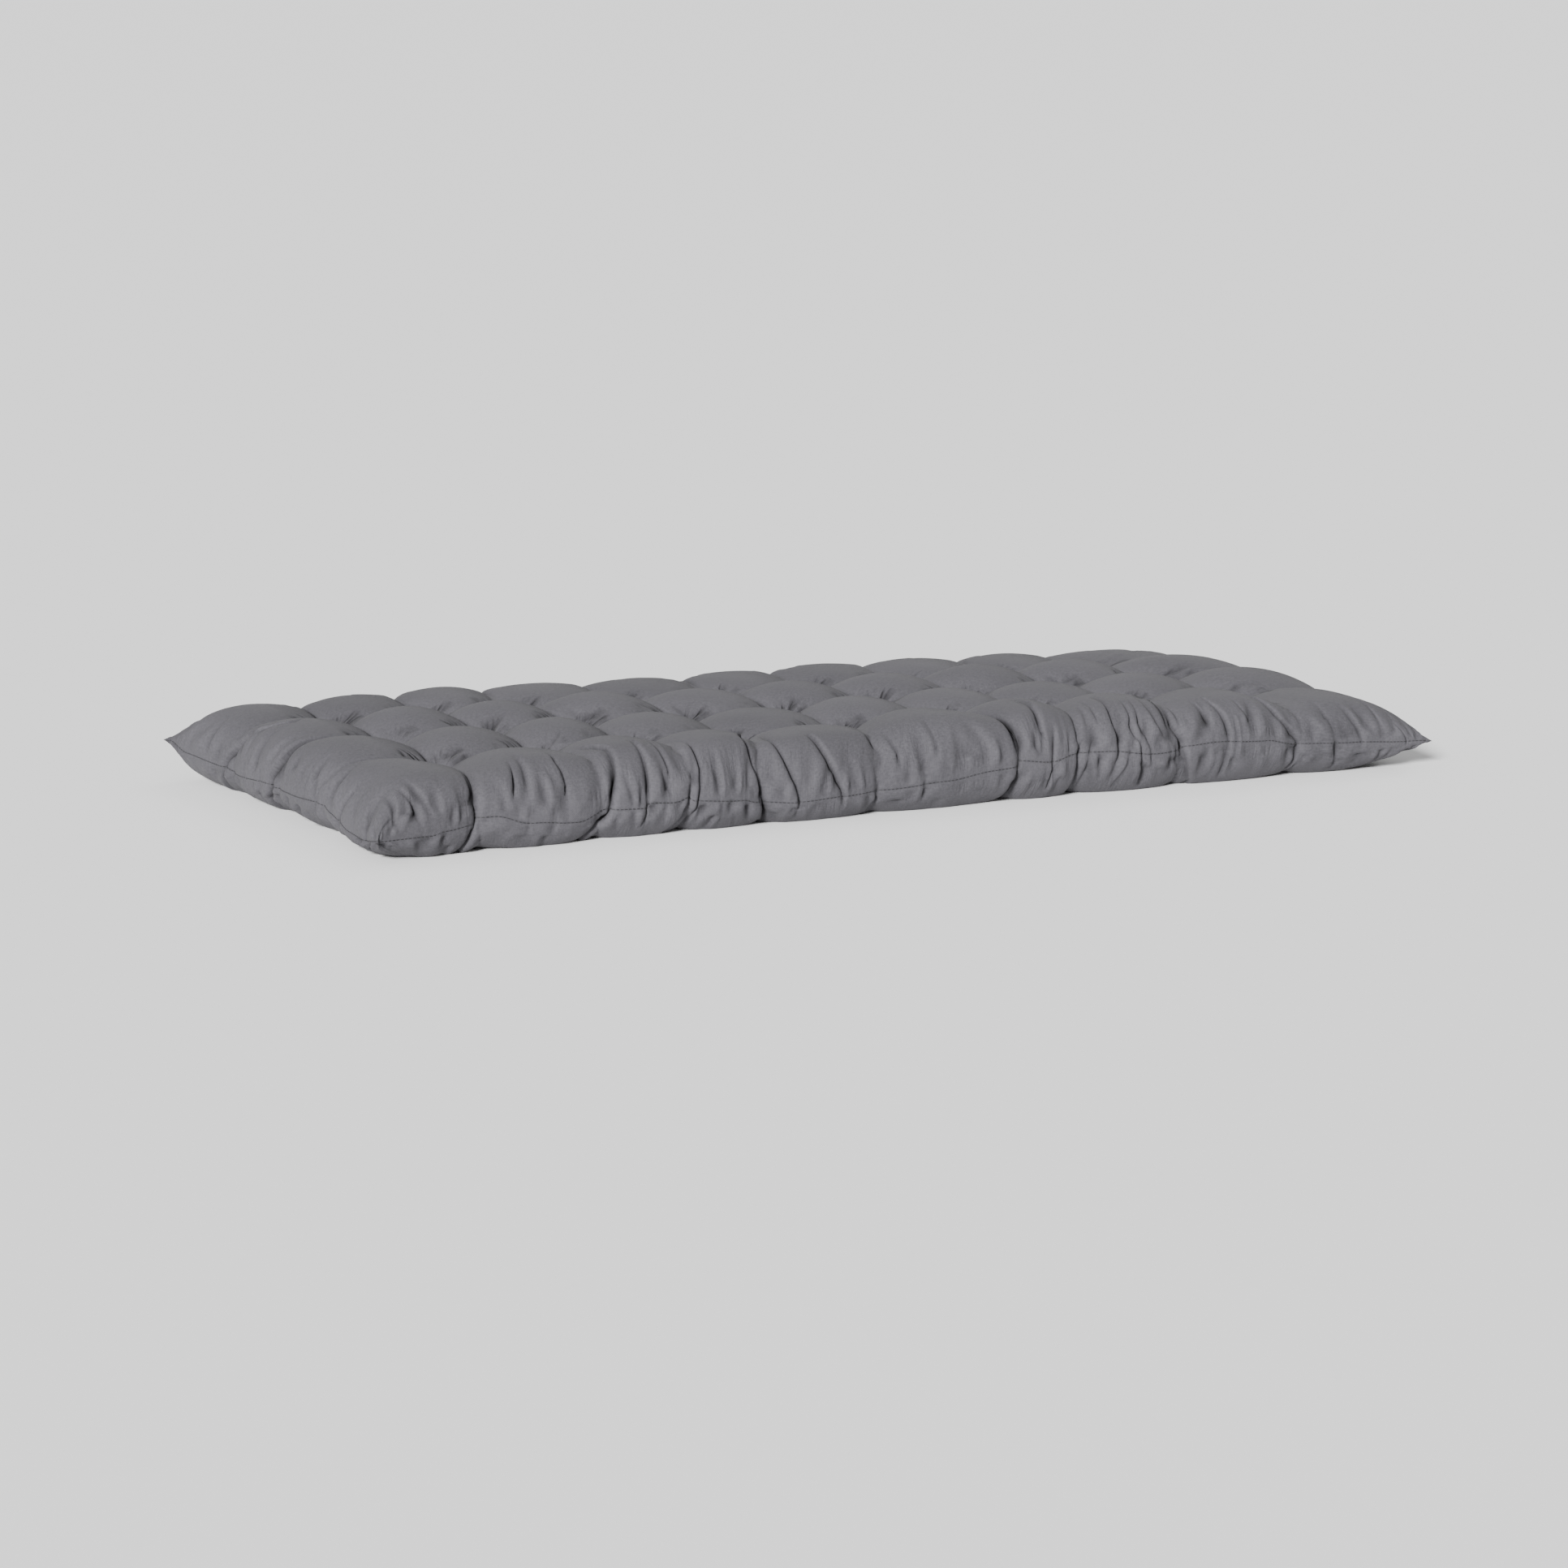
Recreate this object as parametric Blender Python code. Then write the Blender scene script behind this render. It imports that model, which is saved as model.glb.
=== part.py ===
"""A tufted bench cushion, lying on its back.

Two panels of woven fabric are sewn together along one seam that runs round at mid height.
Threads pull the filling down at a grid of tufts, which leaves a crowned pillow in each cell,
channels between the pillows, and a scalloped edge that is drawn in between four pointed corners.

Metres. +X runs along the cushion, -Y is its front, +Z is up, and z = 0 is what it lies on.
"""

import math

import bmesh
import bpy

# Sizes over all
LENGTH = 1.18
DEPTH = 0.47

# Heights inside the cushion
TUFT_TOP = 0.045
TUFT_BOTTOM = 0.019
PRESSED = 0.005  # how far the filling would sink below the surface it lies on
CHANNEL_RISE = 0.55  # height of a channel halfway between tufts, from tuft (0) to crown (1)
CHANNEL_SHARPNESS = 0.72  # below 1, a pillow falls more steeply into its channels

# Edge
EDGE_ROUND = 0.044  # how far in from the front and back seams the pillows reach full height
LEFT_ROUND = 0.070
RIGHT_ROUND = 0.120  # the right end is slacker, and tapers
FULLNESS = 2.5  # 2 rounds the edge as an ellipse, and more makes it fuller
DRAWN_IN = 0.012  # how far filling pulls the sides in between the corners
CORNER_REACH = 0.035
SCALLOP = 0.008

# Each column of tufts: its three tufts, and where its channel meets the front and back seams
COLUMNS = (
    # front_x, first_x, second_x, third_x, back_x
    (-0.482, -0.462, -0.460, -0.466, -0.468),
    (-0.378, -0.358, -0.356, -0.366, -0.372),
    (-0.284, -0.262, -0.258, -0.272, -0.274),
    (-0.180, -0.150, -0.142, -0.154, -0.160),
    (-0.058, -0.030, -0.028, -0.046, -0.050),
    (0.087, 0.082, 0.074, 0.062, 0.062),
    (0.168, 0.190, 0.184, 0.172, 0.176),
    (0.298, 0.303, 0.298, 0.286, 0.292),
    (0.428, 0.424, 0.418, 0.404, 0.404),
)
# Each row of tufts, and where its channel meets the left and right seams
ROWS = (
    # tuft_y, left_y, right_y
    (-0.100, -0.090, -0.100),
    (0.010, 0.009, 0.006),
    (0.116, 0.110, 0.114),
)

# Crown heights of the ten pillows in each of the four rows
CROWNS = (
    # front, second, third, back
    (0.074, 0.078, 0.078, 0.076),
    (0.079, 0.082, 0.085, 0.077),
    (0.082, 0.084, 0.084, 0.077),
    (0.080, 0.081, 0.086, 0.073),
    (0.075, 0.077, 0.081, 0.071),
    (0.085, 0.082, 0.082, 0.071),
    (0.088, 0.083, 0.083, 0.072),
    (0.087, 0.082, 0.085, 0.072),
    (0.086, 0.084, 0.083, 0.071),
    (0.074, 0.080, 0.077, 0.067),
)

# Height of the seam along the front and the back
FRONT_SEAM = (
    # x, height
    (-0.590, 0.021),
    (-0.480, 0.032),
    (-0.400, 0.025),
    (-0.290, 0.031),
    (-0.140, 0.023),
    (0.000, 0.026),
    (0.150, 0.039),
    (0.300, 0.043),
    (0.390, 0.041),
    (0.480, 0.032),
    (0.590, 0.027),
)
BACK_SEAM = (
    # x, height
    (-0.590, 0.040),
    (-0.450, 0.036),
    (0.000, 0.034),
    (0.590, 0.036),
)

# Pillows along and across, and the grid faces across one pillow
CELLS_X = len(COLUMNS) + 1
CELLS_Y = len(ROWS) + 1
STEPS_X = 8
STEPS_END_ROW = 8
STEPS_MID_ROW = 6

WELD = 0.00001

FABRIC_COLOUR = (0.170, 0.167, 0.183, 1.0)
FABRIC_ROUGHNESS = 0.8


def mix(a, b, share):
    return a + (b - a) * share


def smooth(share):
    return share * share * (3 - 2 * share)


def along(table, x):
    """The height that a table of (x, height) gives at x, eased from row to row."""
    for (x0, z0), (x1, z1) in zip(table, table[1:]):
        if x <= x1:
            share = min(max((x - x0) / (x1 - x0), 0), 1)
            return mix(z0, z1, smooth(share))
    return table[-1][1]


def stations(steps_in_cells):
    """Grid lines in cell units, closer together near each channel and each seam."""
    places = [0.0]
    for cell, steps in enumerate(steps_in_cells):
        places += [cell + (1 - math.cos(math.pi * k / steps)) / 2 for k in range(1, steps + 1)]
    return places


def corner_pull(distance):
    """How much of the drawn-in depth is reached at a distance from a corner."""
    return 1 - math.exp(-distance / CORNER_REACH)


def bulge(place, cells):
    """0 in a channel and 1 at a crown. The outer half of an end cell stays at 1."""
    if place < 0.5 or place > cells - 0.5:
        return 1.0
    return abs(math.sin(math.pi * place)) ** CHANNEL_SHARPNESS


def cell_line(places, cell_place):
    """A place in metres for a place in cell units, between the lines given in places."""
    cell = min(int(cell_place), len(places) - 2)
    return mix(places[cell], places[cell + 1], cell_place - cell)


def seam_outset(place, cells, side, span):
    """How far the seam lies from the middle line, at a cell place along a side of the cushion."""
    pull = corner_pull(min(place, cells - place) * side / cells)
    return span / 2 - pull * (DRAWN_IN + SCALLOP * (1 - bulge(place, cells)))


def plan(u, v):
    """Where the fabric at cell place (u, v) lies, seen from above."""
    end = seam_outset(v, CELLS_Y, DEPTH, LENGTH)
    side = seam_outset(u, CELLS_X, LENGTH, DEPTH)
    row = min(int(v), CELLS_Y - 1)
    columns = [mix(column[row], column[row + 1], smooth(v - row)) for column in COLUMNS]
    to_left = smooth(max(1 - u, 0))
    to_right = smooth(max(u - (CELLS_X - 1), 0))
    rows = [mix(mix(tuft, left, to_left), right, to_right) for tuft, left, right in ROWS]
    return cell_line([-end, *columns, end], u), cell_line([-side, *rows, side], v)


def rounding(distance, reach):
    """The rounded edge: 0 at the seam, 1 once reach metres in."""
    share = min(max(distance / reach, 0), 1)
    return (1 - (1 - share) ** FULLNESS) ** (1 / FULLNESS)


def pillow(u, v):
    """0 at a tuft, CHANNEL_RISE halfway along a channel and 1 at a crown."""
    lengthwise, crosswise = bulge(u, CELLS_X), bulge(v, CELLS_Y)
    both = lengthwise * crosswise
    return mix(both, lengthwise + crosswise - both, CHANNEL_RISE)


def crown(u, v):
    """The crown height at cell place (u, v), eased from each pillow to the next."""
    u = min(max(u - 0.5, 0), CELLS_X - 1)
    v = min(max(v - 0.5, 0), CELLS_Y - 1)
    i, j = min(int(u), CELLS_X - 2), min(int(v), CELLS_Y - 2)
    near = mix(CROWNS[i][j], CROWNS[i + 1][j], smooth(u - i))
    far = mix(CROWNS[i][j + 1], CROWNS[i + 1][j + 1], smooth(u - i))
    return mix(near, far, smooth(v - j))


def heights(u, v, x, y):
    """The top and bottom heights of the fabric at cell place (u, v)."""
    seam = mix(along(FRONT_SEAM, x), along(BACK_SEAM, x), y / DEPTH + 0.5)
    pitch_x, pitch_y = LENGTH / CELLS_X, DEPTH / CELLS_Y
    full = rounding(u * pitch_x, LEFT_ROUND) * rounding((CELLS_X - u) * pitch_x, RIGHT_ROUND)
    full *= rounding(min(v, CELLS_Y - v) * pitch_y, EDGE_ROUND)
    dome = pillow(u, v)
    top = mix(seam, mix(TUFT_TOP, crown(u, v), dome), full)
    bottom = mix(seam, mix(TUFT_BOTTOM, -PRESSED, dome), full)
    return top, max(bottom, 0.0)


def panel(bm, us, vs, is_top):
    """One panel of fabric, as a grid shaped over its pillows."""
    grid = bmesh.ops.create_grid(bm, x_segments=len(us) - 1, y_segments=len(vs) - 1, size=0.5)
    for vert in grid["verts"]:
        u = us[round((vert.co.x + 0.5) * (len(us) - 1))]
        v = vs[round((vert.co.y + 0.5) * (len(vs) - 1))]
        x, y = plan(u, v)
        top, bottom = heights(u, v, x, y)
        vert.co = (x, y, top if is_top else bottom)
    if not is_top:
        faces = list({face for vert in grid["verts"] for face in vert.link_faces})
        bmesh.ops.reverse_faces(bm, faces=faces)


def split_corners(bm):
    """Divides the faces at each corner tip from the tip inwards, so that it keeps its thickness."""
    for tip in [vert for vert in bm.verts if len(vert.link_faces) == 2]:
        beside = {edge.other_vert(tip) for edge in tip.link_edges}
        for face in list(tip.link_faces):
            opposite = next(v for v in face.verts if v is not tip and v not in beside)
            bmesh.utils.face_split(face, tip, opposite)


def fabric():
    """Grey woven polyester."""
    material = bpy.data.materials.new("grey_fabric")
    material.use_nodes = True
    shader = material.node_tree.nodes["Principled BSDF"]
    shader.inputs["Base Color"].default_value = FABRIC_COLOUR
    shader.inputs["Roughness"].default_value = FABRIC_ROUGHNESS
    shader.inputs["Metallic"].default_value = 0.0
    return material


def cushion(collection):
    """The whole cover as one closed solid: both panels, joined along the seam."""
    us = stations([STEPS_X] * CELLS_X)
    vs = stations([STEPS_END_ROW] + [STEPS_MID_ROW] * (CELLS_Y - 2) + [STEPS_END_ROW])
    bm = bmesh.new()
    panel(bm, us, vs, is_top=True)
    panel(bm, us, vs, is_top=False)
    seam = [vert for vert in bm.verts if vert.is_boundary]
    bmesh.ops.remove_doubles(bm, verts=seam, dist=WELD)
    split_corners(bm)
    mesh = bpy.data.meshes.new("cushion")
    bm.to_mesh(mesh)
    bm.free()
    mesh.shade_smooth()
    mesh.materials.append(fabric())
    collection.objects.link(bpy.data.objects.new("cushion", mesh))


def main():
    for thing in list(bpy.data.objects):
        bpy.data.objects.remove(thing)
    collection = bpy.data.collections.new("bench_cushion")
    bpy.context.scene.collection.children.link(collection)
    cushion(collection)


main()
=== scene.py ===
# Tufted bench cushion: a sewn cover of grey cloth, filled and tied through with thread.
# Metres, +Z up. +X runs along the cushion, -Y is its front, and it lies on z = 0.
import bpy
import math
import numpy as np
from mathutils import Matrix, Vector


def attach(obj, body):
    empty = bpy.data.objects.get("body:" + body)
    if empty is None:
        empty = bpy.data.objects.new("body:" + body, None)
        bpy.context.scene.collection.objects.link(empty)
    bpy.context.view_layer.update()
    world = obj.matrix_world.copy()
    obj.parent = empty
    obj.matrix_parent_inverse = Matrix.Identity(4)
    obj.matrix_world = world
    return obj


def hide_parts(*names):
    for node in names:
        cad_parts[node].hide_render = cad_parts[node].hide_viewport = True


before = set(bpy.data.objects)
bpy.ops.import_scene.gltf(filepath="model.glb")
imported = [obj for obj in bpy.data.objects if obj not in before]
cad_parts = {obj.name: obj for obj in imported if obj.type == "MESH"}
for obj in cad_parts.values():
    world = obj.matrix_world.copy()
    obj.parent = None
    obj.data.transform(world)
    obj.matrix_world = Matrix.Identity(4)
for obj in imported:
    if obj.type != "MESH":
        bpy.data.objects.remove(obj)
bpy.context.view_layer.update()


# Camera, floor and lights

view = {
    "place": (-2.3198, -3.8073, 0.8280),
    "heading": 31.01,  # degrees, turned from +Y towards +X
    "down": 10.66,
    "roll": 1.31,
    "lens": 105.28,
    "sensor": 36,
    "floorSize": 120.0,
    "floorGrey": 0.90,
    "floorRoughness": 0.9,
    "skyStrength": 0.42,
}
lamps = (
    # name, where it shines from, width in degrees, strength
    ("key_light", (-6.2, -5.1, 3.3), 13.0, 9.2),
    ("fill_light", (4.6, 3.2, 4.4), 25.0, 0.4),
)


def selectNothing():
    bpy.ops.object.select_all(action="DESELECT")


def selectOnly(thing):
    selectNothing()
    thing.select_set(True)
    bpy.context.view_layer.objects.active = thing


def makeCamera():
    bpy.ops.object.camera_add(location=view["place"])
    camera = bpy.context.object
    camera.name = "photo_camera"
    camera.data.lens = view["lens"]
    camera.data.sensor_width = view["sensor"]
    heading, down, roll = (math.radians(view[key]) for key in ("heading", "down", "roll"))
    turned = Matrix.Rotation(-heading, 4, "Z") @ Matrix.Rotation(math.pi / 2 - down, 4, "X")
    camera.matrix_world = Matrix.Translation(view["place"]) @ turned @ Matrix.Rotation(roll, 4, "Z")
    bpy.context.scene.camera = camera


def makeStage():
    selectNothing()
    bpy.ops.mesh.primitive_plane_add(size=view["floorSize"], location=(0, 0, 0))
    floor = bpy.context.object
    floor.name = "floor"
    paint = bpy.data.materials.new("floor_paint")
    paint.use_nodes = True
    shader = paint.node_tree.nodes["Principled BSDF"]
    shader.inputs["Base Color"].default_value = (view["floorGrey"],) * 3 + (1,)
    shader.inputs["Roughness"].default_value = view["floorRoughness"]
    floor.data.materials.append(paint)
    for name, place, width, strength in lamps:
        bpy.ops.object.light_add(type="SUN", location=place)
        lamp = bpy.context.object
        lamp.name = name
        lamp.data.angle = math.radians(width)
        lamp.data.energy = strength
        lamp.rotation_euler = Vector(place).to_track_quat("Z", "Y").to_euler()
    world = bpy.data.worlds.new("studio_sky")
    world.use_nodes = True
    sky = world.node_tree.nodes["Background"]
    sky.inputs["Color"].default_value = (1, 1, 1, 1)
    sky.inputs["Strength"].default_value = view["skyStrength"]
    bpy.context.scene.world = world


# The cover: where the cloth lies before it is settled and pleated

cover = {
    "length": 1.18,  # over the corner tips
    "depth": 0.47,
    "drawnIn": 0.012,  # how far filling pulls the sides in between the corners
    "scallop": 0.008,
    "cornerReach": 0.035,
    "ease": 1.07,  # cloth to each metre of plan, for its way up and down over the pillows
    "channelSharpness": 0.70,  # below 1, pillows fall more steeply into their channels
    "channelRise": 0.55,  # height halfway along a channel, from tuft (0) to crown (1)
    "edgeSharpness": 0.40,  # the same two near the seam, where pillows are fuller
    "edgeRise": 0.80,
    "edgeReach": 0.130,
    "tuftTop": 0.045,
    "tuftBottom": 0.019,
    "pressed": 0.005,  # how far the filling would sink below what it lies on
    "fullness": 2.5,  # 2 rounds the edge as an ellipse, and more makes it fuller
    "sideIn": 0.046,  # plan width of the rounded edge at the front and back, and the cloth it takes
    "sideCloth": 0.083,
    "leftIn": 0.046,
    "leftCloth": 0.090,
    "rightIn": 0.018,  # the right end tapers all the way from just past its last tufts
    "rightCloth": 0.155,
    "groove": 0.0006,  # how deep the stitches pull the seam in
    "grooveWidth": 0.0028,
    "grooveFade": 0.03,  # towards the corner tips
}
# Millimetres, as in the tables that follow: X of each column's tufts and of its channel's two ends.
columns = np.array((
    # front, first, second, third, back
    (-478, -462, -460, -466, -468),
    (-352, -358, -356, -366, -372),
    (-262, -262, -258, -272, -274),
    (-188, -150, -142, -154, -160),
    (-60, -30, -28, -46, -50),
    (98, 82, 74, 62, 62),
    (168, 190, 184, 172, 176),
    (294, 303, 298, 286, 292),
    (438, 424, 418, 404, 404),
)) / 1000
rows = np.array((
    # Y of a row's tufts, its left end and its right end
    (-100, -90, -100),
    (10, 9, 6),
    (116, 110, 114),
)) / 1000
crowns = np.array((
    # front, second, third, back: crown heights of the ten pillows in each row
    (74, 78, 78, 76),
    (79, 82, 85, 77),
    (82, 84, 84, 77),
    (80, 81, 86, 73),
    (75, 77, 81, 71),
    (85, 82, 82, 71),
    (88, 83, 83, 72),
    (87, 82, 85, 72),
    (86, 84, 83, 71),
    (74, 80, 77, 67),
)) / 1000
frontSeam = np.array((
    # x, height: it steps where a strong fold crosses it
    (-590, 24), (-530, 24), (-515, 27), (-485, 30), (-480, 36), (-466, 36), (-430, 26), (-379, 22),
    (-347, 31), (-333, 30), (-309, 29), (-304, 34), (-280, 32), (-264, 36), (-258, 31), (-207, 28),
    (-190, 24), (-147, 21), (-98, 23), (-50, 25), (17, 29), (72, 35), (98, 36), (102, 42), (136, 39),
    (166, 45), (199, 45), (261, 38), (291, 39), (299, 43), (331, 45), (392, 42), (430, 35), (503, 32),
    (564, 29), (590, 29),
)) / 1000
leftSeam = np.array((
    # y, height
    (-235, 22), (-190, 15), (-155, 16), (-110, 25), (-78, 30), (-27, 28), (21, 26), (26, 29), (106, 24),
    (128, 27), (203, 29), (235, 38),
)) / 1000
backSeam = np.array((
    # x, height
    (-590, 38), (-450, 36), (0, 34), (590, 36),
)) / 1000
cellsX, cellsY = len(columns) + 1, len(rows) + 1


def mix(a, b, share):
    return a + (b - a) * share


def smooth(share):
    return share * share * (3 - 2 * share)


def eased(distance, reach):  # from 0 to 1 over the reach
    return smooth(np.clip(distance / reach, 0, 1))


def heightAlong(table, x):  # eased from row to row
    knots = [
        (mix(x0, x1, share), mix(z0, z1, smooth(share)))
        for (x0, z0), (x1, z1) in zip(table, table[1:]) for share in np.linspace(0, 1, 9)
    ]
    return np.interp(x, *np.array(knots).T)


# 0 in a channel, and 1 over a crown and in the outer half of an end cell.
def bulge(place, cells, sharpness):
    wave = np.abs(np.sin(math.pi * np.clip(place, 0, cells))) ** sharpness
    return np.where((place < 0.5) | (place > cells - 0.5), 1.0, wave)


# How far from the middle line the seam is, at a place in cells along a side.
def outset(place, cells, side, span):
    pull = 1 - np.exp(-np.minimum(place, cells - place) * side / cells / cover["cornerReach"])
    scallop = cover["scallop"] * (1 - bulge(place, cells, cover["edgeSharpness"]))
    return span / 2 - pull * (cover["drawnIn"] + scallop)


# The rounded edge: how far in and how far up it has come, at a distance over the cloth from the seam.
def edgeIn(distance, cloth):
    return 1 - np.cos(np.clip(distance / cloth, 0, 1) * math.pi / 2) ** (2 / cover["fullness"])


def edgeUp(distance, cloth):
    return np.sin(np.clip(distance / cloth, 0, 1) * math.pi / 2) ** (2 / cover["fullness"])


# Lines of the flat cloth, along X and along Y: seam, rounded edge, tufts, rounded edge, seam.
def restLines():
    middle = columns.mean(axis=1)
    side = cover["depth"] / 2 - cover["drawnIn"] - cover["sideIn"]
    xs = np.array([middle[0] - cover["leftIn"], *middle, middle[-1] + cover["rightIn"]]) * cover["ease"]
    ys = np.array([-side, *rows[:, 0], side]) * cover["ease"]
    xs = np.concatenate(([xs[0] - cover["leftCloth"]], xs, [xs[-1] + cover["rightCloth"]]))
    ys = np.concatenate(([ys[0] - cover["sideCloth"]], ys, [ys[-1] + cover["sideCloth"]]))
    return xs, ys


def cellLines(lines):  # without those of the rounded edges
    return np.concatenate((lines[:1], lines[2:-2], lines[-1:]))


# How far each point of the flat cloth is from the nearer end, and from the nearer side.
def fromRims(flat):
    return np.array([np.minimum(flat[:, axis] - rest[0], rest[-1] - flat[:, axis])
                     for axis, rest in enumerate(restLines())])


# How far it is from one side, which runs along an axis and is the near or the far one.
def fromSide(flat, axis, isFar):
    rest, across = restLines()[1 - axis], flat[:, 1 - axis]
    return rest[-1] - across if isFar else across - rest[0]


# The tuft nearest to it, as a column and a row, and how far that is along X and along Y.
def nearestTufts(flat):
    numbers, away = [], []
    for axis, rest in enumerate(restLines()):
        numbers.append(np.abs(flat[:, axis, None] - rest[2:-2]).argmin(axis=1))
        away.append(flat[:, axis] - rest[2:-2][numbers[-1]])
    return numbers, np.array(away)


# Places between lines that are themselves different for each point, and the cell places there.
def between(lines, rest, place):
    last = len(rest) - 2
    cell = np.clip(np.searchsorted(rest, place, side="right") - 1, 0, last)
    every = np.arange(len(place))
    share = (place - rest[cell]) / (rest[cell + 1] - rest[cell])
    turned = np.where(cell == 0, edgeIn(share, 1), share)
    turned = np.where(cell == last, 1 - edgeIn(1 - share, 1), turned)
    lines = np.array(lines)
    found = mix(lines[cell, every], lines[cell + 1, every], turned)
    lines = cellLines(lines)
    below = np.clip((lines <= found).sum(axis=0) - 1, 0, len(lines) - 2)
    start, end = lines[below, every], lines[below + 1, every]
    return found, below + (found - start) / (end - start)


# Where each point of the flat cloth lies as seen from above, in metres and in cells.
def planPlaces(x, y):
    restX, restY = restLines()
    u = np.interp(x, cellLines(restX), np.arange(cellsX + 1))
    v = np.interp(y, cellLines(restY), np.arange(cellsY + 1))
    row = np.minimum(v.astype(int), cellsY - 1)
    tuftX = [mix(column[row], column[row + 1], smooth(v - row)) for column in columns]
    toLeft, toRight = eased(1 - u, 1), eased(u - cellsX + 1, 1)
    tuftY = [mix(mix(tuft, left, toLeft), right, toRight) for tuft, left, right in rows]
    end = outset(v, cellsY, cover["depth"], cover["length"])
    edge = outset(u, cellsX, cover["length"], cover["depth"])
    full = edge - cover["sideIn"]
    left, right = tuftX[0] - cover["leftIn"], tuftX[-1] + cover["rightIn"]
    px, u = between([-end, left, *tuftX, right, end], restX, x)
    py, v = between([-edge, -full, *tuftY, full, edge], restY, y)
    return px, py, u, v


def seamHeight(x, y):
    across = y / cover["depth"] + 0.5
    height = mix(heightAlong(frontSeam, x), heightAlong(backSeam, x), across)
    leftEnds = mix(frontSeam[0, 1], backSeam[0, 1], across)
    fromLeft = x + cover["length"] / 2
    return height + (heightAlong(leftSeam, y) - leftEnds) * np.exp(-fromLeft / cover["edgeReach"])


def crownHeight(u, v):  # eased from each pillow to the next
    a, b = np.clip(u - 0.5, 0, cellsX - 1), np.clip(v - 0.5, 0, cellsY - 1)
    i, j = np.minimum(a.astype(int), cellsX - 2), np.minimum(b.astype(int), cellsY - 2)
    front = mix(crowns[i, j], crowns[i + 1, j], smooth(a - i))
    back = mix(crowns[i, j + 1], crowns[i + 1, j + 1], smooth(a - i))
    return mix(front, back, smooth(b - j))


# 0 at the seam, and 1 where the pillows have come to their full height.
def edgeHeight(x, y):
    restX, restY = restLines()
    full = edgeUp(x - restX[0], cover["leftCloth"]) * edgeUp(restX[-1] - x, cover["rightCloth"])
    return full * edgeUp(y - restY[0], cover["sideCloth"]) * edgeUp(restY[-1] - y, cover["sideCloth"])


# Where each point of the flat cloth lies, on the top (side 1), the bottom (-1) or the seam (0).
def layCloth(flat, side):
    x, y = flat[:, 0], flat[:, 1]
    px, py, u, v = planPlaces(x, y)
    inX, inY = eased(fromRims(flat), cover["edgeReach"])
    lengthwise = bulge(u, cellsX, mix(cover["edgeSharpness"], cover["channelSharpness"], inY))
    crosswise = bulge(v, cellsY, mix(cover["edgeSharpness"], cover["channelSharpness"], inX))
    both = lengthwise * crosswise
    rise = mix(cover["edgeRise"], cover["channelRise"], inX * inY)
    dome = mix(both, lengthwise + crosswise - both, rise)
    full = edgeHeight(x, y)
    seam = seamHeight(px, py)
    top = mix(seam, mix(cover["tuftTop"], crownHeight(u, v), dome), full)
    bottom = mix(seam, mix(cover["tuftBottom"], -cover["pressed"], dome), full)
    pz = np.where(side == 0, seam, np.where(side > 0, top, np.maximum(bottom, 0)))
    return np.column_stack((px, py, pz))


# Folds. A row of a side's table is one fold, which runs in from the seam over the top and under the
# cushion: its tuft line (-1 is none), where it is at the seam, 30 mm and 75 mm up the top panel, where it
# starts and ends on that panel and how deep it is; then where it is 50 mm down the bottom panel, its end
# and its depth.

folds = {
    "slit": 0.0016,  # half the width of a fold's mouth
    "slitStart": 0.7,  # of that width in the shallowest fold, and how much more to each metre of depth
    "slitGrowth": 120.0,
    "slitCurve": 1.2,
    "raised": 0.40,  # how far the upper lip of a fold stands out, as a share of the fold's depth
    "raisedWidth": 0.015,
    "lowered": 0.30,  # how far its lower lip sinks
    "loweredWidth": 0.010,
    "pull": 0.30,  # how far the cloth beside it is drawn in
    "mostPull": 0.0036,
    "pullStart": 0.0018,
    "pullWidth": 0.012,
    "upperPull": 1.3,  # more on the upper lip's side than on the other
    "lowerPull": 0.5,
    "width": 0.04,  # of the cloth that it moves on either side
    "atSeam": 0.5,  # depth at the stitches, which hold the cloth
    "underAtSeam": 0.8,
    "seamReach": 0.015,
    "swell": 0.4,  # share of its length in which a fold that starts past the seam gets its depth
    "fall": 0.7,
    "near": 0.030,  # where the tables give the places of the folds
    "far": 0.075,
    "under": 0.050,
    "blend": 0.030,
    "leastSpace": 0.5,  # of the width that the mesh has between two folds
    "reach": 0.125,  # where the lines of cloth that follow the folds are straight again
    "steps": 26,
    "samples": 500,
    "seed": 7,
}
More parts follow.
